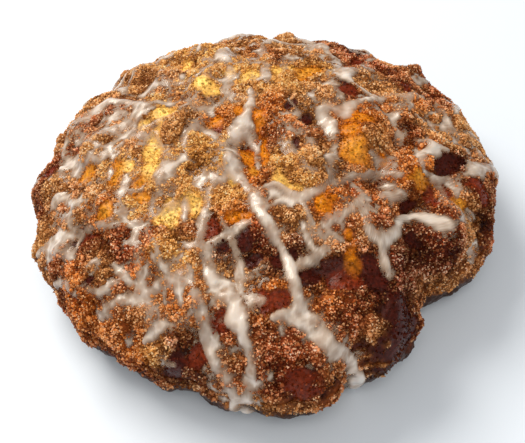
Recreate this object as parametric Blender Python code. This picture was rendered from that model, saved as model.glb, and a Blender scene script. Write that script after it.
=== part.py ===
"""A round streusel coffee cake with sugar glaze, baked in one piece and resting on its flat base.

A place on the cake is (x, y) as seen from above, in millimetres from the middle, with the side that
the cake is looked at from at -Y. Past the outline it goes on down the side by as much.
"""

import math
import random

import bmesh
import bpy
import numpy as np
from mathutils import Vector

MM = 0.001
random.seed(35)

# The baked dome before crumbs and glaze
WIDEST_RADIUS = 121.5
WIDEST_LEVEL = 29.0
DOME_HEIGHT = 77.0
BASE_RADIUS = 104.0
SHOULDER = 0.85
RIM_SLOPE = 1.05
FOOT_ROUND = 0.8

# Where the dough spread more or less: azimuth, reach and half width in degrees
SPREADS = [
    (135, 7, 32), (-124, -5, 22), (-89, 4, 11), (-47, -16, 9),
    (-34, -6, 14), (-70, -5, 9), (0, 1.5, 20), (163, 2.5, 14),
]

# The closed middle of the ring: a dimple's place, radius and rise
DIMPLE = (-8, -3, 10, -7.0)

# Risen lumps of dough and clumped streusel: place, radius and rise
LUMPS = [
    (52, -3, 17, 4.5), (20, 30, 18, 3.0), (-30, -12, 12, 4.5), (25, -29, 8, 3.5), (-82, -60, 16, 3.5),
    (-60, 30, 18, 2.0), (-25, 55, 18, 3.0), (11, -56, 8, 3.0), (-75, -20, 16, 3.0), (80, -58, 13, 3.0),
    (62, 42, 12, 3.0), (-45, -80, 10, 3.0), (35, -96, 14, 3.0), (-5, 85, 20, 3.0), (85, 14, 10, 2.0),
    (-108, 2, 7, 2.5), (-92, 36, 7, 2.0), (-77, 38, 7, 2.0), (-85, 9, 7, 2.0), (-38, 10, 9, 2.0),
    (-17, -44, 8, 2.5), (-33, -35, 6, 1.5), (-88, -45, 6, 2.5), (-70, -55, 7, 2.0), (27, 14, 8, 2.5),
    (50, -54, 6, 2.0), (33, -44, 6, 1.5), (103, -34, 7, 2.5), (0, -112, 12, 2.5), (-48, -62, 8, 2.0),
    (-57, -66, 6, 1.5), (-23, -66, 5, 1.5), (72, -32, 9, 2.0), (10, 12, 9, 2.0), (8, -28, 6, 1.5),
    (56, 46, 5, 1.5), (-20, 12, 5, 1.5), (-45, -105, 9, 2.5), (-22, -100, 6, 1.5), (97, 22, 9, 2.0),
]

# Creases between lumps: from, to, half width and depth
CREASES = [
    ((67, 18), (68, -12), 5, 3.5), ((68, -12), (52, -33), 5, 3.5), ((50, -35), (26, -40), 5, 3.0),
    ((14, 12), (30, 4), 5, 3.0), ((-2, -70), (22, -84), 6, 3.5), ((-36, -102), (-48, -92), 6, 3.0),
    ((66, -50), (96, -24), 6, 3.5), ((-92, -40), (-84, -40), 5, 3.0), ((62, 62), (80, 42), 7, 3.5),
    ((-48, 66), (-36, 46), 5, 2.5), ((60, -92), (74, -76), 7, 4.0),
]

# Long uneven swells of the crust, crumb-sized bumps, and the level above which the relief is at its full height
SWELLS = 14
SWELL_SEED = 8
SWELL_HEIGHT = 0.55
SWELL_LENGTHS = (22.0, 48.0)
SWELL_TILT = 0.5
CRUMB_BUMPS = 0.6
RELIEF_LEVEL = 8.0

# Streusel clumps standing out of the crust: their sizes, how flat, raised and uneven, and how strewn
CLUMPS = 90
CLUMP_SEED = 35
CLUMP_RADII = (3.5, 8.0)
CLUMP_HEIGHT = 0.65
CLUMP_RAISED = 0.1
CLUMP_UNEVEN = 0.15
CLUMP_SPREAD = 14
CLUMP_WOBBLE = 0.25

# Thick glaze strands: width, thickness, then the places they run through
STRANDS = [
    (7, 2.2, (-1, 32), (-3, 14), (-13, 1)),
    (6, 1.6, (-13, 1), (-16.5, -13), (-15.5, -21)),
    (4, 1.6, (-10, 3), (-1.5, -9), (-1, -25)),
    (7, 2.2, (-15, -18), (7.5, -80), (8.5, -98)),
    (6, 1.7, (-16, -26), (-20, -30), (-25, -28)),
    (5, 1.6, (-3, -50), (17, -45)),
    (6, 2.0, (43, -63), (47, -65.5), (53, -64), (65, -52)),
    (6, 1.8, (66, -52), (81, -56)),
    (6, 1.6, (54, -44), (65, -43)),
    (7, 2.0, (-36, -84), (-33, -104), (-24.5, -121), (-26, -128), (-24, -136)),
    (7, 2.1, (-22, -87), (-18.5, -92), (-15.5, -108), (-15.5, -114), (-22, -124)),
    (7, 2.4, (-3, -99.5), (7, -101), (22, -112), (33, -116), (41, -138)),
    (9, 1.8, (-116, -29), (-97, -45)),
    (6, 1.6, (-108, -9), (-103, -9), (-88, -26)),
    (6, 1.6, (-105, 13), (-99, 12), (-81, 1.5), (-69, 6), (-63, 14), (-57, 12)),
    (8, 1.8, (-103, 48), (-91, 46), (-78, 50), (-70, 46), (-56, 29)),
    (6, 1.9, (33, 9), (37, -7)),
    (7, 1.6, (33, 9), (44, 8.5), (47, 13), (65, 23)),
    (7, 1.8, (49, 60), (50, 35), (64, 24)),
    (6, 2.0, (83, -10), (85, -16), (80, -18), (77, -26)),
    (6, 1.7, (84, -31), (96, -27), (122, -10)),
    (6, 1.7, (103, 17), (110, 37), (117, 46)),
    (8, 2.4, (-11, 83), (-13, 65)),
    (6, 1.6, (-6, 84), (8, 80.5), (17, 90), (32, 87), (43, 77), (50, 63), (49, 58)),
    (6, 1.8, (-46, 96), (-30, 102), (8, 107), (28, 101), (38, 88)),
    (7, 1.9, (-8, 104), (-8, 128), (-11, 141)),
    (6, 1.6, (30, 100), (64, 92), (92, 70)),
    (7, 1.8, (-96, 70), (-70, 88), (-46, 96)),
    (6, 1.6, (-58, 92), (-76, 126)),
    (6, 1.6, (96, 56), (118, 82)),
]
GLAZE_SUNK = 3.0

# Mesh spacing
BODY_RINGS = 27
STRAND_STEP = 9.0
KEPT_FACES = 0.72
TRIM = 0.5


def outline(azimuth):
    """The widest radius at an azimuth in degrees: a circle with a smooth bump or dent at each spread."""
    radius = WIDEST_RADIUS
    for middle, reach, half in SPREADS:
        away = (azimuth - middle + 180) % 360 - 180
        radius += reach * math.exp(-(away / half) ** 2)
    return radius


def dome(x, y):
    """The point of the smooth dome at a place: above the widest level on top, below it past the outline."""
    across = math.hypot(x, y)
    azimuth = math.atan2(y, x)
    widest = outline(math.degrees(azimuth))
    if across <= widest:
        spread = (across / widest) ** (1 / SHOULDER)
        rise = math.sqrt(max(0.0, 1 - spread * spread)) ** RIM_SLOPE
        return Vector((x, y, WIDEST_LEVEL + (DOME_HEIGHT - WIDEST_LEVEL) * rise))
    down = min(1.0, (across - widest) / WIDEST_LEVEL)
    foot = BASE_RADIUS / WIDEST_RADIUS
    radius = widest * (foot + (1 - foot) * math.sqrt(1 - down * down) ** FOOT_ROUND)
    return Vector((radius * math.cos(azimuth), radius * math.sin(azimuth), WIDEST_LEVEL * (1 - down)))


def facing(x, y):
    """The direction that the dome faces at a place: square to a step around it and a step outwards."""
    azimuth = math.atan2(y, x)
    along = Vector((math.cos(azimuth), math.sin(azimuth)))
    around = Vector((-along.y, along.x))
    step = 1.5
    rim = dome(x + around.x * step, y + around.y * step) - dome(x - around.x * step, y - around.y * step)
    fall = dome(x + along.x * step, y + along.y * step) - dome(x - along.x * step, y - along.y * step)
    return fall.cross(rim).normalized()


def distance_to_line(point, start, end):
    """How far a point is from the straight line between two points."""
    run = end - start
    share = max(0.0, min(1.0, (point - start).dot(run) / run.dot(run)))
    return (point - start - run * share).length


def make_swells():
    """Seeded headings and starts of the waves that add up to the swells."""
    draw = np.random.default_rng(SWELL_SEED)
    waves = []
    for _ in range(SWELLS):
        turn = draw.uniform(0, 2 * math.pi)
        tilt = draw.uniform(-SWELL_TILT, SWELL_TILT)
        start = draw.uniform(0, 2 * math.pi)
        heading = Vector((math.cos(turn), math.sin(turn), tilt)) * 2 * math.pi / draw.uniform(*SWELL_LENGTHS)
        waves.append((heading, start))
    return waves


def relief(point):
    """How far the crust stands off a point of the smooth dome, by its lumps, dimple, creases and swells."""
    off = 0.0
    for middle, radius, rise in lump_points:
        off += rise * math.exp(-(point - middle).length_squared / radius ** 2)
    for start, end, half, depth in crease_points:
        off -= depth * math.exp(-(distance_to_line(point, start, end) / half) ** 2)
    for heading, start in swell_waves:
        off += SWELL_HEIGHT * math.sin(point.dot(heading) + start)
    return off


def crust(x, y, lift=0.0):
    """The point of the crust at a place, lifted off it by lift. The relief fades out towards the base."""
    point = dome(x, y)
    fade = min(1.0, point.z / RELIEF_LEVEL)
    return point + facing(x, y) * (relief(point) * fade + lift)


def even_reaches(count):
    """Distances from the middle, in millimetres, that space rings evenly along the dome's profile."""
    reach = np.linspace(0, WIDEST_RADIUS + WIDEST_LEVEL, 600)
    profile = np.array([dome(0, r) for r in reach])
    length = np.concatenate([[0], np.cumsum(np.linalg.norm(np.diff(profile, axis=0), axis=1))])
    return np.interp(np.linspace(0, length[-1], count + 1), length, reach)


def make_body():
    """The dome as rings of vertices with six more in each ring than in the last, closed by a flat base."""
    mesh = bmesh.new()
    rings = [[mesh.verts.new(crust(0.01, 0))]]
    for ring, reach in enumerate(even_reaches(BODY_RINGS)[1:], 1):
        row = []
        for step in range(6 * ring):
            azimuth = 2 * math.pi * step / (6 * ring)
            grow = outline(math.degrees(azimuth)) / WIDEST_RADIUS
            if reach <= WIDEST_RADIUS:
                away = reach * grow
            else:
                away = WIDEST_RADIUS * grow + reach - WIDEST_RADIUS
            bump = random.uniform(-CRUMB_BUMPS, CRUMB_BUMPS)
            row.append(mesh.verts.new(crust(away * math.cos(azimuth), away * math.sin(azimuth), bump)))
        rings.append(row)
    for vertex in rings[-1]:
        vertex.co.z = 0
    for ring in range(1, len(rings)):
        inner, outer = rings[ring - 1], rings[ring]
        for side in range(6):
            for step in range(ring):
                low = outer[side * ring + step]
                high = outer[(side * ring + step + 1) % len(outer)]
                near = inner[(side * (ring - 1) + step) % len(inner)]
                mesh.faces.new((near, low, high))
                if step < ring - 1:
                    mesh.faces.new((near, high, inner[(side * (ring - 1) + step + 1) % len(inner)]))
    mesh.faces.new(list(reversed(rings[-1])))
    return as_object(mesh, "cake")


def as_object(mesh, name, collection=None):
    """An object in metres made from a bmesh in millimetres."""
    bmesh.ops.scale(mesh, vec=(MM, MM, MM), verts=mesh.verts)
    data = bpy.data.meshes.new(name)
    mesh.to_mesh(data)
    mesh.free()
    made = bpy.data.objects.new(name, data)
    (collection or bpy.context.scene.collection).objects.link(made)
    return made


def clump_places():
    """Places and radii of the clumps: golden-angle steps outwards from the middle, with a seeded wobble."""
    draw = np.random.default_rng(CLUMP_SEED)
    number = np.arange(CLUMPS)
    across = (WIDEST_RADIUS + CLUMP_SPREAD) * np.sqrt((number + 0.5) / CLUMPS)
    azimuth = number * np.pi * (3 - np.sqrt(5)) + draw.uniform(-CLUMP_WOBBLE, CLUMP_WOBBLE, CLUMPS)
    radius = draw.triangular(CLUMP_RADII[0], CLUMP_RADII[0], CLUMP_RADII[1], CLUMPS)
    return zip(across * np.cos(azimuth), across * np.sin(azimuth), radius)


def make_clump(x, y, radius, toppings):
    """One streusel clump: a flattened twenty-sided lump with uneven corners, half sunk in the crust."""
    mesh = bmesh.new()
    bmesh.ops.create_icosphere(mesh, subdivisions=1, radius=radius)
    middle = crust(x, y, radius * CLUMP_RAISED)
    turn = facing(x, y).to_track_quat("Z", "Y").to_matrix()
    for vertex in mesh.verts:
        vertex.co *= random.uniform(1 - CLUMP_UNEVEN, 1 + CLUMP_UNEVEN)
        vertex.co.z *= CLUMP_HEIGHT
        vertex.co = turn @ vertex.co + middle
    as_object(mesh, "clump", toppings)


def smooth_run(places):
    """Points a strand's step apart along a smooth curve through the given places."""
    places = [Vector(p) for p in places]
    padded = [2 * places[0] - places[1]] + places + [2 * places[-1] - places[-2]]
    run = []
    for a, b, c, d in zip(padded, padded[1:], padded[2:], padded[3:]):
        steps = max(1, round((c - b).length / STRAND_STEP))
        for step in range(steps):
            t = step / steps
            run.append(0.5 * (2 * b + (c - a) * t + (2 * a - 5 * b + 4 * c - d) * t * t
                              + (3 * b - a - 3 * c + d) * t ** 3))
    return run + [places[-1]]


def make_strand(width, thickness, places, toppings):
    """A glaze strand: a flattened five-sided bead along its run, sunk in the crust, with low ends."""
    section = [(-1, 0), (-0.5, 1), (0.5, 1), (1, 0), (0, -1)]
    run = smooth_run(places)
    centres = [crust(x, y) for x, y in run]
    mesh = bmesh.new()
    rings = []
    for step, ((x, y), centre) in enumerate(zip(run, centres)):
        ahead = centres[min(step + 1, len(run) - 1)] - centres[max(step - 1, 0)]
        up = facing(x, y)
        side = ahead.cross(up).normalized()
        height = thickness if 0 < step < len(run) - 1 else thickness / 2
        row = []
        for across, rise in section:
            level = rise * (height if rise > 0 else GLAZE_SUNK)
            row.append(mesh.verts.new(centre + side * across * width / 2 + up * level))
        rings.append(row)
    for near, far in zip(rings, rings[1:]):
        for corner in range(len(section)):
            following = (corner + 1) % len(section)
            mesh.faces.new((near[corner], near[following], far[following], far[corner]))
    mesh.faces.new(list(reversed(rings[0])))
    mesh.faces.new(rings[-1])
    bmesh.ops.recalc_face_normals(mesh, faces=mesh.faces)
    as_object(mesh, "strand", toppings)


def fuse(body, toppings):
    """Joins the toppings to the body with one union, and evens out the slivers left along the joins."""
    union = body.modifiers.new("fused", "BOOLEAN")
    union.operation = "UNION"
    union.operand_type = "COLLECTION"
    union.collection = toppings
    evened = body.modifiers.new("evened", "DECIMATE")
    evened.ratio = KEPT_FACES
    bpy.context.view_layer.update()
    whole = body.evaluated_get(bpy.context.evaluated_depsgraph_get())
    body.data = bpy.data.meshes.new_from_object(whole)
    body.modifiers.clear()
    for topping in list(toppings.objects):
        bpy.data.objects.remove(topping)
    bpy.data.collections.remove(toppings)


def shell_of(vertex):
    """Every vertex that can be reached from this one along edges."""
    shell = {vertex}
    front = [vertex]
    while front:
        front = {e.other_vert(v) for v in front for e in v.link_edges} - shell
        shell |= front
    return shell


def trim(body):
    """Cuts the base flat, and keeps the outer shell only: no loose scrap and no sealed hollow."""
    mesh = bmesh.new()
    mesh.from_mesh(body.data)
    everything = list(mesh.verts) + list(mesh.edges) + list(mesh.faces)
    cut = (0, 0, TRIM * MM)
    bmesh.ops.bisect_plane(mesh, geom=everything, plane_co=cut, plane_no=(0, 0, 1), clear_inner=True)
    bmesh.ops.holes_fill(mesh, edges=[e for e in mesh.edges if e.is_boundary])
    left = set(mesh.verts)
    shells = []
    while left:
        shells.append(shell_of(next(iter(left))))
        left -= shells[-1]
    largest = max(shells, key=len)
    bmesh.ops.delete(mesh, geom=[v for v in mesh.verts if v not in largest], context="VERTS")
    mesh.to_mesh(body.data)
    mesh.free()


def centre_on_base(body):
    """Moves the cake so the middle of its box stands on the origin."""
    low = [min(v.co[axis] for v in body.data.vertices) for axis in range(3)]
    high = [max(v.co[axis] for v in body.data.vertices) for axis in range(3)]
    shift = Vector((-(low[0] + high[0]) / 2, -(low[1] + high[1]) / 2, -low[2]))
    for vertex in body.data.vertices:
        vertex.co += shift


def baked_streusel():
    """Golden-brown baked crumb."""
    material = bpy.data.materials.new("baked_streusel")
    material.use_nodes = True
    surface = material.node_tree.nodes["Principled BSDF"]
    surface.inputs["Base Color"].default_value = (0.36, 0.17, 0.06, 1)
    surface.inputs["Roughness"].default_value = 0.6
    surface.inputs["Metallic"].default_value = 0
    return material


for leftover in list(bpy.data.objects):
    bpy.data.objects.remove(leftover)

lump_points = [(dome(x, y), radius, rise) for x, y, radius, rise in LUMPS + [DIMPLE]]
crease_points = [(dome(*start), dome(*end), half, depth) for start, end, half, depth in CREASES]
swell_waves = make_swells()

cake = make_body()
toppings = bpy.data.collections.new("toppings")
bpy.context.scene.collection.children.link(toppings)
for x, y, radius in clump_places():
    make_clump(x, y, radius, toppings)
for width, thickness, *places in STRANDS:
    make_strand(width, thickness, places, toppings)
fuse(cake, toppings)
trim(cake)
centre_on_base(cake)
cake.data.materials.clear()
cake.data.materials.append(baked_streusel())
cake.data.shade_smooth()
cake.data.set_sharp_from_angle(angle=math.radians(40))
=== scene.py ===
import itertools

import bpy
import numpy as np
from mathutils import Matrix, Vector


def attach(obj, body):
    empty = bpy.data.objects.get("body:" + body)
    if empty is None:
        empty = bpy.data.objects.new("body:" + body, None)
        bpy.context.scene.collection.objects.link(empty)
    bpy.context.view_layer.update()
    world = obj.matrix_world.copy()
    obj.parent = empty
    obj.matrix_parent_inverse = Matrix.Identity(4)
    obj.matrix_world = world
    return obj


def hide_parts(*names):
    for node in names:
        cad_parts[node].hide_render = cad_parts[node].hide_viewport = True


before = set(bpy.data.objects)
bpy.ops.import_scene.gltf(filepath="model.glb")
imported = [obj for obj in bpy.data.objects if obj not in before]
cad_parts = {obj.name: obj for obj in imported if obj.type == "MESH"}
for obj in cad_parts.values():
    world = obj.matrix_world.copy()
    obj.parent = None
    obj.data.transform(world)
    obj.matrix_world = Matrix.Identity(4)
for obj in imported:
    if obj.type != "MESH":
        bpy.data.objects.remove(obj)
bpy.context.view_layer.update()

# The baked dough: a round of sweet yeast dough baked in a ring pan, whose middle rose shut to a dimple.
# It is one closed body with a flat base. Where no streusel lies on it, its egg-washed crust is glossy and
# runs from yolk yellow, where the dough tore and stretched, to dark brown low on the side.

# Sizes are in millimetres. A place is (x, y) seen from above, from the middle of the dome, and past the
# outline it goes on down the side by as much.
MM = 0.001
BOX_SHIFT = np.array([1.6, 0.7, -0.5])
WIDEST_RADIUS = 121.5
WIDEST_LEVEL = 29.0
DOME_HEIGHT = 77.0
BASE_RADIUS = 104.0
SHOULDER = 0.85
RIM_SLOPE = 1.05
FOOT_ROUND = 0.8
BASE_LEVEL = 0.5
PROFILE_STEPS = 800
# Bumps and dents of the outline: azimuth in degrees, reach, half width in degrees
SPREADS = [
    (135, 7, 32), (-124, -5, 22), (-89, 4, 11), (-47, -16, 9), (-34, -6, 14), (-70, -5, 9), (0, 1.5, 20),
    (163, 2.5, 14),
]
# The dimple and the lumps: place, radius, rise
DIMPLE = (-8, -3, 10, -7.0)
LUMPS = [
    (52, -3, 17, 4.5), (20, 30, 18, 3.0), (-30, -12, 12, 4.5), (25, -29, 8, 3.5), (-82, -60, 16, 3.5),
    (-60, 30, 18, 2.0), (-25, 55, 18, 3.0), (11, -56, 8, 3.0), (-75, -20, 16, 3.0), (80, -58, 13, 3.0),
    (62, 42, 12, 3.0), (-45, -80, 10, 3.0), (35, -96, 14, 3.0), (-5, 85, 20, 3.0), (85, 14, 10, 2.0),
    (-108, 2, 7, 2.5), (-92, 36, 7, 2.0), (-77, 38, 7, 2.0), (-85, 9, 7, 2.0), (-38, 10, 9, 2.0),
    (-17, -44, 8, 2.5), (-33, -35, 6, 1.5), (-88, -45, 6, 2.5), (-70, -55, 7, 2.0), (27, 14, 8, 2.5),
    (50, -54, 6, 2.0), (33, -44, 6, 1.5), (103, -34, 7, 2.5), (0, -112, 12, 2.5), (-48, -62, 8, 2.0),
    (-57, -66, 6, 1.5), (-23, -66, 5, 1.5), (72, -32, 9, 2.0), (10, 12, 9, 2.0), (8, -28, 6, 1.5),
    (56, 46, 5, 1.5), (-20, 12, 5, 1.5), (-45, -105, 9, 2.5), (-22, -100, 6, 1.5), (97, 22, 9, 2.0),
]
# Creases: two places, half width, depth
CREASES = [
    ((67, 18), (68, -12), 5, 3.5), ((68, -12), (52, -33), 5, 3.5), ((50, -35), (26, -40), 5, 3.0),
    ((14, 12), (30, 4), 5, 3.0), ((-2, -70), (22, -84), 6, 3.5), ((-36, -102), (-48, -92), 6, 3.0),
    ((66, -50), (96, -24), 6, 3.5), ((-92, -40), (-84, -40), 5, 3.0), ((62, 62), (80, 42), 7, 3.5),
    ((-48, 66), (-36, 46), 5, 2.5), ((60, -92), (74, -76), 7, 4.0),
]
SWELLS = 14
SWELL_HEIGHT = 0.55
SWELL_LENGTHS = (22.0, 48.0)
CLUMPS = 90
CLUMP_RADII = (3.5, 8.0)
CLUMP_HEIGHT = 0.4
CLUMP_SPREAD = 14
CLUMP_WOBBLE = 0.25
# Nuggets and the small crumbs on them, each with the seed of its cobbles
NUGGET_SIZE = 7.5
NUGGET_SEED = 3
NUGGET_HEIGHT = 2.2
NUGGET_EDGE = 0.75
LEAST_RISE = 0.7
RISE_SPREAD = 0.6
MIDDLE_RISE = 0.7
CRUMB_SIZE = NUGGET_SIZE * 0.4
CRUMB_SEED = 4
CRUMB_HEIGHT = 0.45 * NUGGET_HEIGHT
BARE_FLATNESS = 0.5
RELIEF_FADE = 8
DOUGH_GRID = 310


def outline(azimuth):
    """The widest radius at an azimuth in radians: a circle with a smooth bump or dent at each spread."""
    radius = np.full(np.shape(azimuth), WIDEST_RADIUS)
    for middle, reach, half in SPREADS:
        away = (np.degrees(azimuth) - middle + 180) % 360 - 180
        radius = radius + reach * np.exp(-(away / half) ** 2)
    return radius


def dome(x, y):
    """The smooth dome: on top, its level falls from the middle as a power of a circle's; past the outline, it
    goes straight down in level while its radius draws in to the foot as another power of a circle's."""
    across = np.hypot(x, y)
    azimuth = np.arctan2(y, x)
    widest = outline(azimuth)
    spread = np.clip(across / widest, 0, 1) ** (1 / SHOULDER)
    rise = np.sqrt(1 - spread ** 2) ** RIM_SLOPE
    down = np.clip((across - widest) / WIDEST_LEVEL, 0, 1)
    foot = BASE_RADIUS / WIDEST_RADIUS
    drawn_in = widest * (foot + (1 - foot) * np.sqrt(1 - down ** 2) ** FOOT_ROUND)
    on_top = across <= widest
    radius = np.where(on_top, across, drawn_in)
    level = np.where(on_top, WIDEST_LEVEL + (DOME_HEIGHT - WIDEST_LEVEL) * rise, WIDEST_LEVEL * (1 - down))
    return np.stack([radius * np.cos(azimuth), radius * np.sin(azimuth), level], -1)


def facing(x, y):
    """The dome's outward direction: a short step away from the middle crossed with a short step round it."""
    azimuth = np.arctan2(y, x)
    away_x, away_y = np.cos(azimuth) * 1.5, np.sin(azimuth) * 1.5
    fall = dome(x + away_x, y + away_y) - dome(x - away_x, y - away_y)
    rim = dome(x - away_y, y + away_x) - dome(x + away_y, y - away_x)
    outward = np.cross(fall, rim)
    return outward / np.linalg.norm(outward, axis=-1, keepdims=True)


def at(place):
    """One place's point on the smooth dome."""
    return dome(np.array(float(place[0])), np.array(float(place[1])))


def line_distance(points, start, end):
    """How far each point is from the straight line between two points."""
    run = end - start
    share = np.clip((points - start) @ run / (run @ run), 0, 1)
    return np.linalg.norm(points - start - share[..., None] * run, axis=-1)


def lattice_noise(points, size, seed):
    """Smooth heights from -1 to 1: seeded values at a lattice's corners, blended by a smooth step between
    them."""
    cell = points / size
    corner = np.floor(cell).astype(int)
    share = cell - corner
    share = share * share * (3 - 2 * share)
    values = np.random.default_rng(seed).uniform(-1, 1, (32, 32, 32))
    height = np.zeros(len(points))
    for step in itertools.product((0, 1), repeat=3):
        where = (corner + step) % 32
        weight = np.prod(np.where(np.array(step) == 1, share, 1 - share), axis=1)
        height += weight * values[where[:, 0], where[:, 1], where[:, 2]]
    return height


def cobbles(points, size, seed):
    """Rounded nuggets packed side by side: the root of how much nearer a point is to the nearest of a
    lattice's jittered middles than a nugget's edge, times that nugget's rise. Gives the height and each
    nugget's own share."""
    cell = points / size
    corner = np.floor(cell).astype(int)
    draw = np.random.default_rng(seed)
    jitter = draw.uniform(0, 1, (32, 32, 32, 3))
    shares = draw.uniform(0, 1, (32, 32, 32))
    nearest = np.full(len(points), 9.0)
    own = np.zeros(len(points))
    for step in itertools.product((-1, 0, 1), repeat=3):
        where = corner + step
        x, y, z = (where % 32).T
        away = ((cell - where - jitter[x, y, z]) ** 2).sum(1)
        own = np.where(away < nearest, shares[x, y, z], own)
        nearest = np.minimum(nearest, away)
    return np.sqrt(np.clip(1 - nearest / NUGGET_EDGE, 0, 1)) * (LEAST_RISE + RISE_SPREAD * own), own


def clump_places():
    """Places, radii and turns of the big streusel clumps: golden-angle steps outwards, with a seeded
    wobble."""
    draw = np.random.default_rng(35)
    number = np.arange(CLUMPS)
    across = (WIDEST_RADIUS + CLUMP_SPREAD) * np.sqrt((number + 0.5) / CLUMPS)
    azimuth = number * np.pi * (3 - np.sqrt(5)) + draw.uniform(-CLUMP_WOBBLE, CLUMP_WOBBLE, CLUMPS)
    radius = draw.triangular(CLUMP_RADII[0], CLUMP_RADII[0], CLUMP_RADII[1], CLUMPS)
    return across * np.cos(azimuth), across * np.sin(azimuth), radius


def form_relief(points):
    """How far the form stands off the smooth dome: lumps, less the dimple and creases, plus long swells."""
    off = np.zeros(len(points))
    for x, y, radius, rise in LUMPS + [DIMPLE]:
        off += rise * np.exp(-((points - at((x, y))) ** 2).sum(1) / radius ** 2)
    for start, end, half, depth in CREASES:
        off -= depth * np.exp(-(line_distance(points, at(start), at(end)) / half) ** 2)
    draw = np.random.default_rng(8)
    for number in range(SWELLS):
        turn, tilt, phase = draw.uniform(0, 2 * np.pi), draw.uniform(-0.5, 0.5), draw.uniform(0, 2 * np.pi)
        heading = np.array([np.cos(turn), np.sin(turn), tilt]) * 2 * np.pi / draw.uniform(*SWELL_LENGTHS)
        off += SWELL_HEIGHT * np.sin(points @ heading + phase)
    return off


def nugget_relief(points):
    """How far the streusel's nuggets stand off the form: packed cobbles, and the big clumps among them."""
    off = NUGGET_HEIGHT * (cobbles(points, NUGGET_SIZE, NUGGET_SEED)[0] - MIDDLE_RISE)
    x, y, radius = clump_places()
    for middle, reach in zip(dome(x, y), radius):
        inside = np.clip(1 - ((points - middle) ** 2).sum(1) / reach ** 2, 0, 1)
        off += CLUMP_HEIGHT * reach * np.sqrt(inside)
    return off


def crumb_relief(points):
    """How far the small crumbs stand off the nuggets: cobbles less than half their size."""
    return CRUMB_HEIGHT * (cobbles(points, CRUMB_SIZE, CRUMB_SEED)[0] - MIDDLE_RISE)


def disc_places(across, along):
    """Carries a square of sides -1 to 1 onto the cake: rings of the square become rings of the dome, spaced
    evenly along its profile from the middle of the top to the edge of the base."""
    flat = np.abs(across) > np.abs(along)
    ring = np.where(flat, across, along)
    other = np.where(flat, along, across)
    turn = np.pi / 4 * other / np.where(ring == 0, 1, ring)
    turn = np.where(flat, turn, np.pi / 2 - turn)
    x, y = ring * np.cos(turn), ring * np.sin(turn)
    reach = np.linspace(0, WIDEST_RADIUS + WIDEST_LEVEL, PROFILE_STEPS)
    profile = dome(np.zeros(PROFILE_STEPS), reach)
    length = np.concatenate([[0], np.cumsum(np.linalg.norm(np.diff(profile, axis=0), axis=1))])
    azimuth = np.arctan2(y, x)
    even = np.interp(np.hypot(x, y) * length[-1], length, reach)
    grow = outline(azimuth) / WIDEST_RADIUS
    away = np.where(even <= WIDEST_RADIUS, even * grow, WIDEST_RADIUS * grow + even - WIDEST_RADIUS)
    return away * np.cos(azimuth), away * np.sin(azimuth)


def raised(x, y, smooth, off):
    """Points that stand off the smooth dome by a height along its outward direction, fading out low on the
    side."""
    return smooth + facing(x, y) * (off * np.clip(smooth[:, 2] / RELIEF_FADE, 0, 1))[:, None]


def square_grid(count):
    """The corners of an even square grid from -1 to 1, row by row."""
    steps = np.linspace(-1, 1, count)
    along, across = np.meshgrid(steps, steps, indexing="ij")
    return across.ravel(), along.ravel()


def grid_quads(count):
    """The corner numbers of each square of a grid, turned so that they face up."""
    corner = np.arange(count * count).reshape(count, count)
    return np.stack([corner[:-1, :-1], corner[:-1, 1:], corner[1:, 1:], corner[1:, :-1]], -1).reshape(-1, 4)


def mesh_from(name, points, faces, smooth=True):
    """A mesh object in metres from points in millimetres and a list of face arrays, each of one corner
    count."""
    mesh = bpy.data.meshes.new(name)
    corners = np.concatenate([group.ravel() for group in faces]).astype(np.int32)
    counts = np.concatenate([np.full(len(group), group.shape[1]) for group in faces]).astype(np.int32)
    mesh.vertices.add(len(points))
    mesh.vertices.foreach_set("co", ((points + BOX_SHIFT) * MM).astype(np.float32).ravel())
    mesh.loops.add(len(corners))
    mesh.loops.foreach_set("vertex_index", corners)
    mesh.polygons.add(len(counts))
    mesh.polygons.foreach_set("loop_start", np.concatenate([[0], np.cumsum(counts)[:-1]]).astype(np.int32))
    mesh.polygons.foreach_set("use_smooth", np.full(len(counts), smooth))
    mesh.update(calc_edges=True)
    made = bpy.data.objects.new(name, mesh)
    bpy.context.scene.collection.objects.link(made)
    return made


def paint(piece, name, values):
    """Keeps a number or a colour for each vertex under a name that the piece's material reads."""
    if values.ndim == 1:
        layer = piece.data.attributes.new(name, "FLOAT", "POINT")
        layer.data.foreach_set("value", values.astype(np.float32))
    else:
        rgba = np.concatenate([values, np.ones((len(values), 1))], 1).astype(np.float32)
        layer = piece.data.attributes.new(name, "FLOAT_COLOR", "POINT")
        layer.data.foreach_set("color", rgba.ravel())


# The edges of bare patches, in shares of the oval, then size and strength of two noises that make them ragged
PATCH_REACH = 1.25
PATCH_SOFTNESS = 0.5
PATCH_ROUNDING = 1.3
PATCH_SEARCH = 2.2
FINE_RAGGED = (3.5, 0.5)
COARSE_RAGGED = (9.0, 0.6)
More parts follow.
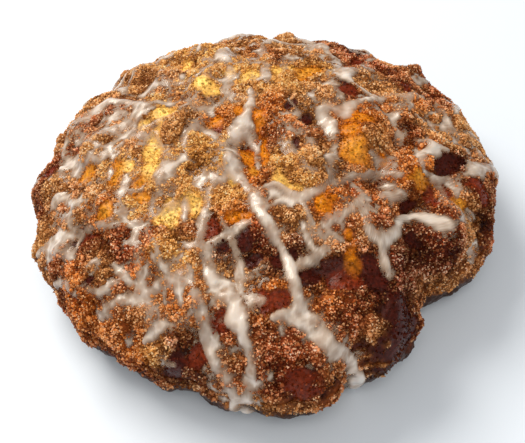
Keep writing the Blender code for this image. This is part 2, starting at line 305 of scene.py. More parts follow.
# Bare crust: colour, then each patch's place, half length, half width, and turn in degrees if it has one
YOLK = (0.90, 0.62, 0.17)
OCHRE = (0.68, 0.29, 0.025)
AMBER = (0.64, 0.22, 0.007)
RUST = (0.18, 0.025, 0.006)
# Burgundy: dark caramelised crust, laid in the creases as painted shade too
BURGUNDY_AND_SHADE = (0.060, 0.008, 0.004)
BARE = [
    (YOLK, [
        (-54, -1, 4, 12), (-53, -15, 4, 8), (-47, 23, 8, 5, 10), (-25, 40, 6, 8), (-15, -31, 3, 4),
        (-46, -43, 6, 5), (-33, -43, 5, 6), (-57, 19, 4, 3), (8, -33, 4, 5, 40), (15, -39, 6, 4, -25),
        (18, 47, 8, 6), (1, 45, 6, 5), (-35, 76, 3, 8), (-65, -10, 3, 7), (-12, 50, 4, 4)]),
    (OCHRE, [
        (45, -20, 5, 9, 15), (30, 48, 8, 4), (-71, -12, 4, 7), (-59, -30, 4, 4), (-60, -22, 4, 3),
        (-76, -33, 4, 6), (92, -43, 5, 3, 30), (-89, -4, 5, 4, -30), (75, -34, 8, 4, 20), (-5, -27, 3, 4),
        (48, 12, 4, 4), (26, 42, 4, 5)]),
    (AMBER, [
        (50, 4, 8, 8), (46, -6, 5, 7), (-7, -14, 3.5, 8), (2, -14, 2.5, 8), (25, -50, 6, 6), (-7, 14, 3, 4),
        (2, 11, 3, 5), (-20, 12, 4, 4), (-15, -52, 5, 4), (60, -24, 3, 3), (35, -74, 3, 8)]),
    (RUST, [
        (-21, 6, 3, 3), (50, 24, 5, 4), (-24, -97, 5, 4), (-2, -93, 6, 4), (-27, -57, 4, 4), (82, 38, 4, 8),
        (87, -37, 2.5, 6), (80, -36, 2, 6), (78, -43, 2.5, 4), (-38, -105, 5, 4), (5, -121, 6.5, 4.5),
        (103, -33, 5, 4), (-88, -42, 5, 3), (30, -86, 7, 3), (-5, -5, 3, 2), (60, 62, 3, 6),
        (-112, 12, 4, 4)]),
    # Burgundy patches in the creases: dark crust and painted shade
    (BURGUNDY_AND_SHADE, [
        (-13, -66, 6, 5), (2, -76, 5, 5), (15, -84, 6, 4), (92, -22, 8, 4, 25), (67, -46, 6, 4),
        (-22, -66, 4, 3), (45, -86, 6, 4), (57, -94, 12, 6, 25), (62, 85, 4, 12), (-94, -44, 3, 4),
        (-14, -5, 2, 5), (-9, -4, 1.5, 4), (48, 32, 3, 3), (18, 15, 3, 2), (24, 5, 3, 5), (8, -74, 3, 3),
        (28, -80, 6, 4), (-9, -74, 5, 3), (-48, -104, 5, 4), (64, -62, 4, 3), (40, -80, 4, 5),
        (-84, -63, 3, 2), (17, -14, 2, 4), (50, -106, 15, 6, 12)]),
]


def bare_crust(points):
    """How bare of streusel each point is, from 0 to 1, and its crust colour: soft-edged ovals, whose
    colours mix by how far inside each of them the point lies."""
    bare, total = np.zeros(len(points)), np.zeros(len(points))
    colour = np.zeros((len(points), 3))
    ragged = FINE_RAGGED[1] * lattice_noise(points, FINE_RAGGED[0], 12)
    ragged = ragged + COARSE_RAGGED[1] * lattice_noise(points, COARSE_RAGGED[0], 13)
    for tone, patches in BARE:
        for x, y, half_long, half_wide, *turn in patches:
            middle = at((x, y))
            reach = PATCH_SEARCH * max(half_long, half_wide)
            near = np.nonzero(((points - middle) ** 2).sum(1) < reach ** 2)[0]
            out = oval_share(points[near] - middle, half_long, half_wide, *turn)
            inside = PATCH_REACH - out + ragged[near]
            share = np.clip(inside / PATCH_SOFTNESS, 0, 1)
            share = share * share * (3 - 2 * share)
            bare[near] = np.maximum(bare[near], share)
            rounded = (0.5 + 0.5 * np.clip(inside / PATCH_ROUNDING, 0, 1)[:, None]) ** (0.5, 1.0, 1.5)
            total[near] += share
            mixed_in = (share / np.maximum(total[near], 1e-6))[:, None]
            colour[near] += mixed_in * (tone * rounded - colour[near])
    return bare, colour


def oval_share(off, half_long, half_wide, turn=0):
    """How far out in an oval an offset lies, 1 at its edge. The oval is turned by an angle in degrees."""
    cosine, sine = np.cos(np.radians(turn)), np.sin(np.radians(turn))
    along = off[:, 0] * cosine + off[:, 1] * sine
    across = off[:, 1] * cosine - off[:, 0] * sine
    return np.hypot(along / half_long, across / half_wide)


def crust_relief(points):
    """The crust's height over the smooth dome as three parts to add up, form, nuggets and crumbs, of which
    the last two are lower where the crust is bare, then how bare it is and its bare colour."""
    bare, colour = bare_crust(points)
    left = 1 - BARE_FLATNESS * bare
    return form_relief(points), nugget_relief(points) * left, crumb_relief(points) * left, bare, colour


# How the baked tones blend, the painted shade in the gaps and under the crumbs, and the dark low crust
TONE_RAGGED = 3.0
TONE_FALL = 1.3
TONE_BETWEEN = 0.12
SHADE_UNDER_CRUMBS = 0.5
NUGGET_GAP_SHADE = 0.22
CRUMB_GAP_SHADE = 0.45
SHADE_REDDENING = (1.0, 1.3, 1.7)
LOW_CRUST = (0.040, 0.012, 0.005)
LOW_CRUST_TOP = 24
LOW_CRUST_BLEND = 8
LOW_CRUST_SHINE = 0.6
BUMP_DEPTH = 0.6
# Baked tones: colour, then each place and its reach. The darkest is partly painted shade in the creases
GOLD = (0.88, 0.45, 0.115)
TAN = (0.58, 0.26, 0.078)
AMBER_CRUMB = (0.58, 0.155, 0.017)
RUSSET = (0.27, 0.046, 0.009)
# Umber: dark-baked crust, and painted shade in the creases and on the front right
UMBER_AND_SHADE = (0.110, 0.016, 0.005)
BAKED_AND_SHADE = [
    (GOLD, [
        (-30, -12, 15), (-27, -14, 9), (-33, -9, 9), (-17, -40, 7), (-65, -35, 6), (-46, -64, 8),
        (0, 58, 10), (-20, 75, 12), (0, 44, 10), (-35, -38, 6), (15, 35, 10), (12, -22, 7), (-70, -10, 8),
        (-48, 30, 9), (-30, 45, 9), (-45, 90, 12), (-57, -30, 7), (20, -36, 5), (35, 48, 8),
        (-58, -98, 6)]),
    (TAN, [
        (25, -29, 8), (27, 13, 8), (28, 68, 10), (-38, 10, 9), (54, -14, 7), (60, 38, 7), (-85, 9, 7),
        (-108, 3, 8), (105, 5, 8), (95, -5, 8), (11, -56, 7), (70, 35, 8), (-80, -58, 8), (100, -42, 8),
        (30, 36, 7), (-55, 95, 14), (10, 100, 16), (88, 8, 8), (-20, -80, 6)]),
    (AMBER_CRUMB, [
        (10, 12, 9), (50, -2, 11), (-15, -50, 8), (-6, -28, 6), (25, -50, 8), (72, -32, 12), (85, 16, 8),
        (84, -22, 9), (60, -44, 9), (-76, -32, 7), (33, -44, 6), (-44, -82, 8), (-57, -66, 7), (0, -93, 8),
        (20, -92, 8), (60, 14, 8), (-85, -75, 10), (-66, -92, 8), (-95, -60, 11), (-20, 12, 7),
        (5, 68, 8)]),
    (RUSSET, [
        (0, -112, 12), (25, -100, 12), (50, -54, 8), (30, -60, 6), (-24, -98, 8), (-5, -62, 7),
        (60, -35, 7), (97, 24, 10), (82, 40, 9), (-88, -45, 8), (-70, -53, 8), (78, -60, 10), (104, -36, 8),
        (50, 22, 6), (-27, -56, 6), (110, -45, 10), (-37, 38, 7), (15, 66, 6), (56, 50, 6), (-105, -45, 10),
        (-92, 40, 9), (-77, 42, 8), (-100, 22, 7), (110, 40, 14), (-112, 16, 8)]),
    # Umber places lie in the creases and on the front right: dark crust and painted shade
    (UMBER_AND_SHADE, [
        (64, -62, 12), (80, -64, 9), (60, -80, 12), (108, -40, 9), (-12, -67, 8), (3, -77, 8), (17, -84, 9),
        (93, -21, 9), (66, -47, 8), (45, -87, 9), (56, -95, 12), (-48, -104, 10), (-37, -106, 8),
        (62, -67, 9), (75, -66, 9), (62, 86, 10), (48, 31, 4), (20, 14, 5), (-84, -63, 5), (-93, -42, 6),
        (16, -70, 6), (30, -84, 7), (-22, -66, 6), (100, -20, 6)]),
]


def baked_tone_and_shade(points):
    """How the streusel baked at each point, with painted shade in the creases and on the front right: a mean
    of the named tones, weighted by nearness to their places."""
    ragged = points + TONE_RAGGED * np.stack([lattice_noise(points, 5.0, seed) for seed in (61, 62, 63)], 1)
    mottle = np.clip(0.5 + 0.7 * lattice_noise(points, 20, 64), 0, 1)[:, None]
    weight = np.full(len(points), TONE_BETWEEN)
    tone = weight[:, None] * (np.array(TAN) * (1 - mottle) + np.array(RUSSET) * mottle)
    for colour, places in BAKED_AND_SHADE:
        for x, y, reach in places:
            near = np.exp(-TONE_FALL * ((ragged - at((x, y))) ** 2).sum(1) / reach ** 2)
            weight += near
            tone += near[:, None] * np.array(colour)
    patchy = np.clip(0.5 + 0.9 * lattice_noise(points, 6.0, 65), 0, 1)[:, None]
    return tone / weight[:, None] * (0.74 + 0.38 * patchy) ** (1.0, 1.4, 1.8)


def gap_shaded(colour, nuggets, crumbs, share=1.0):
    """A tone times a share, which is greatest on the tops of the nuggets and crumbs and least in the gaps
    between them: painted shade in the gaps. The painted shade turns redder: green and blue fall by higher
    powers of the share."""
    share = share * (NUGGET_GAP_SHADE + np.clip(0.6 + nuggets / 2.6, 0, 1))
    share = share * (CRUMB_GAP_SHADE + np.clip(0.5 + crumbs, 0, 1.1))
    return colour * share[:, None] ** SHADE_REDDENING


dough_x, dough_y = disc_places(*square_grid(DOUGH_GRID))
dough_smooth = dome(dough_x, dough_y)
dough_form, dough_nuggets, dough_crumbs, dough_bare, dough_colour = crust_relief(dough_smooth)
dough_points = raised(dough_x, dough_y, dough_smooth, dough_form + dough_nuggets + dough_crumbs)
dough_points[:, 2] = np.maximum(dough_points[:, 2], BASE_LEVEL)

edge = np.arange(DOUGH_GRID * DOUGH_GRID).reshape(DOUGH_GRID, DOUGH_GRID)
rim = np.concatenate([edge[0, :-1], edge[:-1, -1], edge[-1, :0:-1], edge[:0:-1, 0]])
dough_points[rim, 2] = BASE_LEVEL
base_middle = len(dough_points)
base_fan = np.stack([np.roll(rim, -1), rim, np.full(len(rim), base_middle)], 1)
dough_points = np.concatenate([dough_points, [[0, 0, BASE_LEVEL]]])
dough = mesh_from("baked_dough", dough_points, [grid_quads(DOUGH_GRID), base_fan])

low_crust = (LOW_CRUST_TOP - dough_smooth[:, 2]) / LOW_CRUST_BLEND
low_crust = np.clip(low_crust + 0.5 * lattice_noise(dough_smooth, 9, 21), 0, 1)
# The crust under the crumbs is darker, and darker again in the gaps between nuggets and crumbs: painted shade
dough_tone = gap_shaded(baked_tone_and_shade(dough_smooth), dough_nuggets, dough_crumbs, SHADE_UNDER_CRUMBS)
dough_tone = dough_tone + dough_bare[:, None] * (dough_colour - dough_tone)
dough_tone = dough_tone + low_crust[:, None] * (np.array(LOW_CRUST) - dough_tone)
paint(dough, "crust_colour", np.concatenate([dough_tone, [LOW_CRUST]]))
paint(dough, "bare", np.concatenate([np.maximum(dough_bare, LOW_CRUST_SHINE * low_crust), [0.5]]))


def new_material(name):
    """A material, its node tree and its surface node."""
    material = bpy.data.materials.new(name)
    material.use_nodes = True
    return material, material.node_tree, material.node_tree.nodes["Principled BSDF"]


def set_inputs(node, values):
    """Gives a node's inputs their values by name."""
    for name, value in values.items():
        node.inputs[name].default_value = value


def named_value(tree, name, kind="Fac"):
    """The socket that reads a value kept on the mesh under a name."""
    read = tree.nodes.new("ShaderNodeAttribute")
    read.attribute_name = name
    return read.outputs[kind]


def fine_noise(tree, size, detail):
    """Noise in object coordinates, with patches of a size in millimetres."""
    where = tree.nodes.new("ShaderNodeTexCoord")
    noise = tree.nodes.new("ShaderNodeTexNoise")
    set_inputs(noise, {"Scale": 1 / (size * MM), "Detail": detail})
    tree.links.new(where.outputs["Object"], noise.inputs["Vector"])
    return noise.outputs["Fac"]


def ranged(tree, value, low, high, from_low=0.0, from_high=1.0):
    """A value carried from one range to another, held at its ends."""
    carry = tree.nodes.new("ShaderNodeMapRange")
    set_inputs(carry, {"From Min": from_low, "From Max": from_high, "To Min": low, "To Max": high})
    tree.links.new(value, carry.inputs["Value"])
    return carry.outputs["Result"]


def brightened(tree, colour, amount):
    """A colour times a number."""
    times = tree.nodes.new("ShaderNodeVectorMath")
    times.operation = "SCALE"
    tree.links.new(colour, times.inputs[0])
    tree.links.new(amount, times.inputs["Scale"])
    return times.outputs[0]


def bumped(tree, height, strength, surface):
    """Tilts a surface by the slopes of a height, at a strength."""
    bump = tree.nodes.new("ShaderNodeBump")
    set_inputs(bump, {"Strength": strength, "Distance": BUMP_DEPTH * MM})
    tree.links.new(height, bump.inputs["Height"])
    tree.links.new(bump.outputs["Normal"], surface.inputs["Normal"])


def egg_washed_crust():
    """Glossy baked crust: its own colour under fine mottling, smoother and shinier where it is bare."""
    material, tree, surface = new_material("egg_washed_crust")
    mottle = ranged(tree, fine_noise(tree, 1.6, 6), 0.62, 1.35, 0.35, 0.65)
    colour = brightened(tree, named_value(tree, "crust_colour", "Color"), mottle)
    tree.links.new(colour, surface.inputs["Base Color"])
    tree.links.new(ranged(tree, named_value(tree, "bare"), 0.6, 0.24), surface.inputs["Roughness"])
    bumped(tree, fine_noise(tree, 1.2, 4), 0.5, surface)
    set_inputs(surface, {"Specular IOR Level": 0.12})
    return material


dough.data.materials.append(egg_washed_crust())
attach(dough, "root")
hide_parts("cake")

# The sugar glaze: icing sugar stirred with milk, drizzled from a spoon in crossing strands, which ran
# together in the hollows, dripped down the side and set partly see-through. It is one closed shell whose
# underside and thin edges lie in the crust.

# Strands: thickness, then the places they run through, each with the width there
STRANDS = [
    (2.2, (-1, 32, 5), (-1, 22, 4), (-3, 14, 5), (-7, 8, 8), (-11, 4, 9), (-13, 1, 6)),
    (1.6, (-13, 1, 5), (-15.5, -6, 3.5), (-16.5, -13, 4), (-15.5, -21, 7)),
    (1.5, (-11, 2, 4), (-12.5, -8, 3), (-13.5, -16, 5)),
    (1.6, (-7, 4, 4), (-3, -3, 4), (-1.5, -9, 3), (-2, -17, 3), (-1, -25, 2.5)),
    (2.2, (-15, -18, 6), (-14, -25, 9), (-11, -31, 7), (-8, -37, 6), (-4.5, -43, 6), (-3, -50, 6),
     (-1, -57, 5), (2.5, -65, 5), (5, -72, 5), (7.5, -80, 6), (8, -88, 5), (8.5, -98, 6)),
    (1.7, (-16, -26, 6), (-20, -30, 5), (-25, -28, 3)),
    (1.5, (-6, -40, 5), (-1, -39, 4), (4, -37, 4), (8, -39, 4), (12, -43, 5), (17, -45, 5)),
    (1.6, (-3, -50, 4), (2, -49, 3), (7, -47, 4), (12, -47, 6), (17, -45, 5)),
    (1.4, (17, -45, 5), (23, -42, 4), (30, -38, 4), (38, -34, 4), (46, -31.5, 4), (52, -30, 4),
     (58, -31, 4), (64, -34, 3)),
    (1.5, (15, -47, 4), (17.5, -52, 4), (18.5, -57, 4), (19, -62, 6), (23, -65, 7), (28, -68, 6),
     (24, -72, 5), (18, -76.5, 5), (12, -79, 6), (8, -81, 5)),
    (1.5, (22, -62, 4), (28, -57, 4), (34, -55, 5), (39, -51, 5), (43, -47, 6), (46, -45, 8)),
    (1.2, (46, -45, 6), (45, -40, 4), (43, -36, 4)),
    (1.2, (44, -47, 5), (43, -53, 4), (44, -59, 4), (45, -64, 5)),
    (2.0, (43, -63, 5), (47, -65.5, 6), (53, -64, 6), (58, -60, 6), (61, -55, 4), (65, -52, 3)),
    (1.8, (66, -52, 3), (71, -52, 4), (76, -54, 8), (81, -56, 5)),
    (1.5, (48, -66, 5), (49, -72, 4), (50, -77, 5), (50, -82, 3)),
    (1.6, (54, -44, 4), (59, -43.5, 6), (65, -43, 4)),
    (1.0, (-64, -43, 5), (-56, -41, 5), (-50, -40, 5), (-44, -38, 5), (-38, -34, 6), (-33, -29, 6),
     (-27, -26, 5)),
    (1.7, (-38.5, -38, 4), (-38.5, -43, 6), (-38, -49, 3)),
    (1.3, (-62, -43, 3), (-58, -46, 5), (-55, -52, 3.5), (-52, -58, 3), (-50, -64, 3), (-49, -71, 3)),
    (1.3, (-62, -44, 4), (-63, -52, 5), (-62, -60, 5), (-61.5, -68, 6), (-60.5, -76, 8), (-59, -84, 9),
     (-57.5, -91, 9)),
    (1.9, (-61, -93, 4), (-57, -92, 7), (-53, -91, 4)),
    (1.1, (-55, -76, 6), (-61, -78, 6), (-66, -77, 5), (-72, -76, 5), (-77, -76, 4), (-82, -78, 3)),
    (1.3, (-54, -75, 4), (-48, -76, 6), (-43, -75, 8), (-38, -78, 7), (-36, -83, 7), (-34, -88, 6)),
    (2.0, (-36, -84, 6), (-34.5, -90, 6), (-33.5, -97, 6), (-33, -104, 5), (-30.5, -110, 6),
     (-26.5, -115, 6), (-24.5, -121, 6), (-26, -128, 5), (-24, -136, 5)),
    (1.2, (-29, -77, 5), (-28, -82, 7), (-24, -86, 8), (-20, -90, 7)),
    (2.1, (-22, -87, 6), (-18.5, -92, 6), (-18, -97, 9), (-16.5, -103, 5), (-15.5, -108, 4.5),
     (-15.5, -114, 5), (-18, -120, 6), (-22, -124, 5)),
    (1.4, (-21, -50, 2.5), (-20.5, -56, 3), (-19, -61, 4), (-17, -67, 3.5), (-15.5, -74, 4), (-16, -81, 4),
     (-16.5, -86, 3.5)),
    (1.3, (-31, -67, 3), (-26, -63, 4), (-20, -60.5, 4), (-14, -58, 4), (-8, -57, 3)),
    (0.9, (-28, -65, 2), (-27, -69, 2), (-22, -70, 2), (-18, -71, 2.5)),
    (1.1, (-15, -82, 4), (-10, -80, 2.5), (-4, -77.5, 2.5)),
    (1.2, (-29, -45, 4), (-30, -52, 5), (-32, -58, 5), (-32, -64, 5), (-30, -70, 5), (-29, -77, 6)),
    (1.6, (-38, -62, 3), (-35.5, -62.5, 5), (-33, -63, 3)),
    (1.8, (-30, -75, 3), (-28.5, -78, 6), (-27, -81, 3)),
    (1.2, (-37, -71, 3), (-37, -76, 3), (-38, -80, 5)),
    (1.0, (-24, -31, 5), (-26, -37, 4), (-28, -45, 5)),
    (1.1, (-49, -92, 4), (-44, -91, 4), (-40, -91, 3)),
    (1.3, (-53, -100, 3), (-51, -102, 4), (-49, -103, 3)),
    (1.0, (-12, -92, 4), (-9, -92, 5), (-7, -92, 3)),
    (2.4, (-3, -99.5, 4), (2, -99.5, 6), (7, -101, 8), (12, -103.5, 10), (17, -109, 9), (22, -112, 7),
     (29, -113, 5), (33, -116, 5), (36, -122, 5), (38, -130, 6), (41, -138, 5)),
    (1.8, (-116, -29, 5), (-108, -34, 9), (-102, -39, 10), (-97, -45, 7)),
    (1.3, (-94, -43, 2), (-93, -39, 2.5), (-87, -37, 4), (-81, -38.5, 5), (-75, -41, 5), (-69, -42.5, 5),
     (-62, -44, 5)),
    (1.5, (-109, -49, 4), (-103, -54, 5), (-98, -58, 4)),
    (1.6, (-108, -9, 5), (-103, -9, 6), (-99, -14, 5), (-94, -19, 4), (-88, -26, 3)),
    (0.9, (-107, -16, 5), (-103, -21, 6), (-98, -27, 6), (-93, -31, 4)),
    (1.6, (-105, 13, 5), (-99, 12, 5), (-93, 8, 5), (-87, 4, 5), (-81, 1.5, 5), (-75, 3, 5), (-69, 6, 4),
     (-67, 11, 4), (-63, 14, 4), (-57, 12, 5)),
    (1.3, (-97, 27, 6), (-90, 22, 8), (-82, 17, 8), (-75, 21, 8), (-68, 25, 8), (-61, 26, 7), (-55, 29, 4),
     (-51, 33, 4)),
    (1.1, (-107, 42, 4), (-109, 34, 5), (-105, 25, 5), (-102, 17, 5), (-104, 9, 5), (-102, 4, 3)),
    (1.8, (-103, 48, 6), (-97, 47, 9), (-91, 46, 12), (-85, 49, 10), (-78, 50, 7), (-70, 46, 6),
     (-64, 40, 5), (-60, 33, 5), (-56, 29, 4)),
    (1.5, (-72, -61, 3), (-69, -66, 5), (-65, -71, 3)),
    (1.3, (-80, -70, 3), (-75, -69, 4.5), (-71, -68, 3)),
    (1.2, (-85, -57, 3), (-83, -56, 4), (-81, -55, 3)),
    (1.0, (-86, -65, 3), (-82, -68, 3), (-79, -69, 3)),
    (1.1, (-57, 12, 4), (-61, 10, 5), (-60.5, 4, 4), (-59.5, -3, 2.5)),
    (1.1, (-55, 13, 4), (-50, 9, 5), (-48, 1, 5), (-46, -7, 7), (-45, -15, 7), (-48, -22, 6),
     (-50, -29, 5)),
    (1.1, (-60, 17, 4), (-53, 17, 4), (-46, 17.5, 4), (-39, 15, 3)),
    (1.0, (-69, -15, 4), (-64, -17, 6), (-60, -19, 4)),
    (1.2, (-36, -5, 4), (-35.5, 0, 4), (-33, 4, 4), (-30.5, 9, 4), (-28, 14, 4), (-26.5, 20, 5),
     (-28, 26, 7), (-31, 32, 5)),
    (1.0, (-24, 5, 5), (-20, 1, 6), (-18.5, -5, 5), (-18.5, -12, 4)),
    (1.1, (-13, 62, 5), (-11, 53, 6), (-12.5, 45, 7), (-13, 37, 8), (-11, 30, 8), (-5, 27, 6), (-1, 27, 5)),
    (1.1, (12, -2, 7), (13, -9, 5), (14.5, -15, 4), (17, -22, 3), (19, -29, 3), (24, -35, 3)),
    (1.0, (15, 2, 5), (20, -3, 8), (25, -5, 6)),
    (0.9, (17, 19, 2), (20, 11, 3), (21, 4, 5), (20, -3, 6)),
    (1.0, (25, -11, 4), (25, -18, 5), (24, -25, 4)),
    (1.0, (36, -8, 4), (35.5, -15, 3), (33, -24, 4), (31, -32, 4)),
    (1.9, (33, 9, 4), (34, 4, 7), (36, -1, 7), (37, -7, 3)),
    (1.6, (33, 9, 5), (38, 10, 6), (44, 8.5, 8), (47, 13, 6), (53, 15.5, 5), (59, 18, 6), (65, 23, 6)),
    (1.4, (65, 23, 6), (70, 26, 5), (76, 23, 8), (82, 24, 6), (88, 26, 4)),
    (1.1, (76, 22, 7), (74, 16, 7), (72, 10, 5), (69, 5, 5), (68.5, -1, 4), (71, -7, 4)),
    (0.9, (36, 12, 6), (40, 18, 7), (40, 26, 5), (41, 34, 4), (42, 46, 4)),
    (1.8, (49, 60, 6), (48.5, 50, 7), (50, 42, 9), (50, 35, 7), (53, 31, 4), (58, 27, 4), (64, 24, 4)),
    (1.0, (51, 52, 2.5), (54, 46, 2.5), (60, 44, 3), (63, 51, 3)),
    (2.0, (83, -10, 3), (85, -16, 8), (80, -18, 5), (78, -21, 7), (77, -26, 4)),
    (1.2, (91, -15, 3), (86, -12, 3), (80, -10, 3)),
    (1.7, (84, -31, 5), (90, -29.5, 4), (96, -27, 5), (101, -24, 6), (106, -20, 7), (111, -17, 6),
     (117, -13, 5), (122, -10, 4)),
    (1.4, (94, -28, 5), (94, -34, 5), (91, -39, 4)),
    (1.0, (85, -31, 5), (85, -37, 5), (83, -43, 5), (87, -47.5, 5), (94, -49, 5), (99, -47, 3)),
    (1.0, (94, -50, 5), (96, -55, 4), (97, -61, 4)),
    (1.2, (82, 10, 3), (86, 5, 5), (91, 7, 4), (96, 5, 4), (100, 3, 5), (104, 0, 4), (109, -1, 4),
     (113, -2, 4), (112, -8, 5), (118, -9, 4)),
    (1.0, (95, 22, 3), (98, 12, 3), (100, 4, 3)),
    (1.7, (103, 17, 5), (107, 27, 6), (110, 37, 5), (117, 46, 4)),
    (1.0, (54, -23, 5), (60, -27, 6), (63, -23, 4)),
    (1.3, (-49, 84, 5), (-49, 71, 5), (-48, 60, 6), (-44, 53, 6), (-38, 49, 4)),
    (1.1, (-44, 69, 4), (-41, 58, 4), (-36, 50, 4)),
    (1.1, (-26, 73, 2.5), (-23, 69, 3), (-21, 61, 4), (-24, 55, 7), (-22, 48, 5)),
    (2.4, (-11, 83, 4), (-12, 76, 7), (-13.5, 71, 9), (-13, 65, 6)),
    (1.6, (-6, 84, 3), (2, 81.5, 4), (8, 80.5, 4), (12, 84, 5), (17, 90, 5), (25, 88, 4), (32, 87, 6),
     (38, 83, 7), (43, 77, 6), (46, 70, 4), (50, 63, 5), (49, 58, 5)),
    (1.3, (8, 80, 5), (8, 70, 5), (8, 60, 5), (8, 50, 6), (8, 41, 5)),
    (0.9, (24, 85, 3), (23, 74, 3), (23, 66, 3), (20, 58, 5), (19, 50, 4)),
    (1.2, (33, 85, 3), (32.5, 74, 3), (35, 67, 3.5), (41, 68, 3), (47, 66, 3)),
    (1.3, (64, 48, 5), (63, 58, 5), (68, 66, 4), (74, 74, 4)),
    (1.8, (-46, 96, 5), (-30, 102, 6), (-12, 104, 6), (8, 107, 6), (28, 101, 5), (38, 88, 5)),
    (1.9, (-8, 104, 5), (-9, 116, 6), (-8, 128, 7), (-11, 141, 5)),
    (1.6, (30, 100, 5), (48, 96, 5), (64, 92, 5), (78, 80, 5), (92, 70, 5)),
    (1.5, (54, 95, 4), (59, 106, 5), (62, 118, 5), (66, 128, 4)),
    (1.8, (-96, 70, 5), (-84, 80, 6), (-70, 88, 7), (-56, 92, 6), (-46, 96, 5)),
    (1.6, (-58, 92, 5), (-66, 104, 5), (-70, 116, 6), (-76, 126, 5)),
    (1.5, (-72, 62, 4), (-80, 74, 5), (-92, 88, 5), (-100, 98, 5)),
    (1.3, (-27, 84, 4), (-24, 94, 4), (-22, 103, 5)),
    (1.6, (96, 56, 4), (104, 66, 5), (112, 74, 5), (118, 82, 4)),
    (1.4, (108, 6, 4), (118, 12, 5), (127, 20, 5), (134, 26, 4)),
    (1.3, (-119, 18, 4), (-127, 20, 5), (-136, 24, 5), (-142, 27, 4)),
    (1.4, (-66, 74, 4), (-54, 90, 5), (-46, 106, 6), (-36, 120, 5), (-30, 133, 4)),
    (1.3, (68, 78, 4), (52, 90, 5), (38, 104, 6), (28, 118, 5), (22, 132, 4)),
    (1.2, (-34, 84, 4), (-20, 96, 5), (-2, 112, 5), (16, 118, 5), (36, 122, 4)),
    (1.2, (-98, 84, 4), (-84, 92, 5), (-66, 98, 5), (-50, 112, 5), (-46, 124, 4)),
]
# Thin pools in the hollows: place, half length, half width, level over the crust's middle, and turn if any
POOLS = [
    (-90, 46, 13, 8, 0.9), (-80, 21, 17, 9, 0.5, 10), (-62, 25, 10, 6, 0.6), (-57, 12, 8, 5, 0.6),
    (-47, -10, 5, 13, 0.5), (-45, 17, 8, 4, 0.5), (-35, -29, 9, 5, 0.5, 20), (-66, -27, 8, 5, 0.6),
    (-65, -17, 7, 5, 0.7), (-58, -41, 10, 4, 0.6), (-16, -28, 8, 7, 0.8), (-28, 25, 7, 7, 0.6),
    (-12, 36, 6, 10, 0.6), (-2, 28, 6, 7, 0.5), (4, -40, 9, 5, 0.7), (-27, -86, 9, 8, 1.0),
    (-60, -82, 8, 10, 0.8), (-42, -77, 8, 5, 0.8), (-31, -60, 5, 9, 0.4), (19, -3, 9, 6, 0.6),
    (21, 6, 4, 7, 0.5), (28, 33, 6, 8, 0.4), (39, 15, 6, 7, 0.6), (49, 42, 7, 9, 0.7), (75, 18, 7, 9, 0.7),
    (86, 3, 8, 6, 0.4), (22, -64, 7, 5, 0.9), (44, -52, 5, 9, 0.5), (88, -45, 8, 6, 0.5),
    (105, -21, 10, 6, 0.6, 30), (42, 77, 8, 8, 0.6), (21, 56, 7, 9, 0.4), (8, 56, 6, 12, 0.4),
    (-24, 55, 6, 8, 0.6), (-46, 60, 7, 12, 0.6), (-10, 50, 6, 12, 0.4), (-104, -36, 11, 7, 1.0, -35),
    (-100, -24, 8, 5, 0.5, -45), (-68, 42, 9, 8, 0.5), (-104, 28, 7, 14, 0.5), (-100, -12, 8, 5, 0.7, -30),
    (-88, -20, 8, 5, 0.2, -40), (-73, -78, 9, 4, 0.5), (-22, 3, 5, 6, 0.5), (-45, -45, 12, 5, 0.2),
    (-70, 0, 10, 5, 0.1), (-40, 32, 8, 6, 0.1), (60, -28, 6, 4, 0.5), (47, -67, 7, 4, 0.8),
    (12, -46, 6, 4, 0.8), (-30, 95, 18, 6, 0.4, 10), (60, 100, 12, 6, 0.4, -20), (-75, 86, 14, 6, 0.5, 35),
    (64, 52, 5, 9, 0.5), (100, -4, 10, 5, 0.3), (-94, 12, 9, 6, 0.4, -20), (-78, 10, 34, 26, 0.6),
    (-85, 38, 26, 18, 0.7), (-60, -28, 26, 18, 0.5), (-42, 40, 28, 26, 0.5), (-8, 52, 22, 26, 0.3),
    (-50, -76, 22, 18, 0.35), (52, 32, 28, 22, 0.05), (92, 8, 20, 22, 0.1), (24, -46, 30, 10, 0.1),
    (-98, -28, 16, 18, 0.3), (20, 10, 18, 20, 0.1), (-22, 92, 40, 14, 0.1), (-24, -40, 14, 18, 0.3),
    (78, -50, 20, 12, -0.3), (50, 84, 30, 14, 0.0), (-14, -92, 22, 12, 0.1),
]
GLAZE_GRID = 298
STRAND_WIDTH = 1.2
STRAND_THICKNESS = 0.95
STRAND_SEAT = 0.7
POOL_SEAT = 0.1
POOL_LEVEL = 0.25
POOL_EDGE = 5.0
FILM = 0.6
FILM_REACH = 2.1
FILM_SHED = 0.9
WANDER = 1.1
UNEVEN_WIDTH = 0.3
UNEVEN_THICKNESS = 0.4
# Where the shell ends, how far its edge dips under the crust, and how far down its underside lies
LEAST_DEPTH = -0.1
LEAST_LEVEL = 1.5
EDGE_DIP = 0.75
UNDER_CRUST = 1.2


def smooth_run(places, step=4.0):
    """Points a step apart along the smooth curve, a cubic between each two, through places with a width."""
    places = np.array(places, float)
    padded = np.concatenate([[2 * places[0] - places[1]], places, [2 * places[-1] - places[-2]]])
    run = []
    for a, b, c, d in zip(padded, padded[1:], padded[2:], padded[3:]):
        share = np.linspace(0, 1, max(2, int(np.linalg.norm(c - b) / step) + 1), endpoint=False)[:, None]
        run.append(0.5 * (2 * b + (c - a) * share + (2 * a - 5 * b + 4 * c - d) * share ** 2
                          + (3 * b - a - 3 * c + d) * share ** 3))
    run = np.concatenate(run + [places[-1:]])
    return dome(run[:, 0], run[:, 1]), run[:, 2] / 2


def blended(first, second, fillet=0.5):
    """The greater of two heights, with a smooth fillet where they are nearly the same."""
    mix = np.clip(0.5 + (first - second) / (2 * fillet), 0, 1)
    return first * mix + second * (1 - mix) + fillet * mix * (1 - mix)


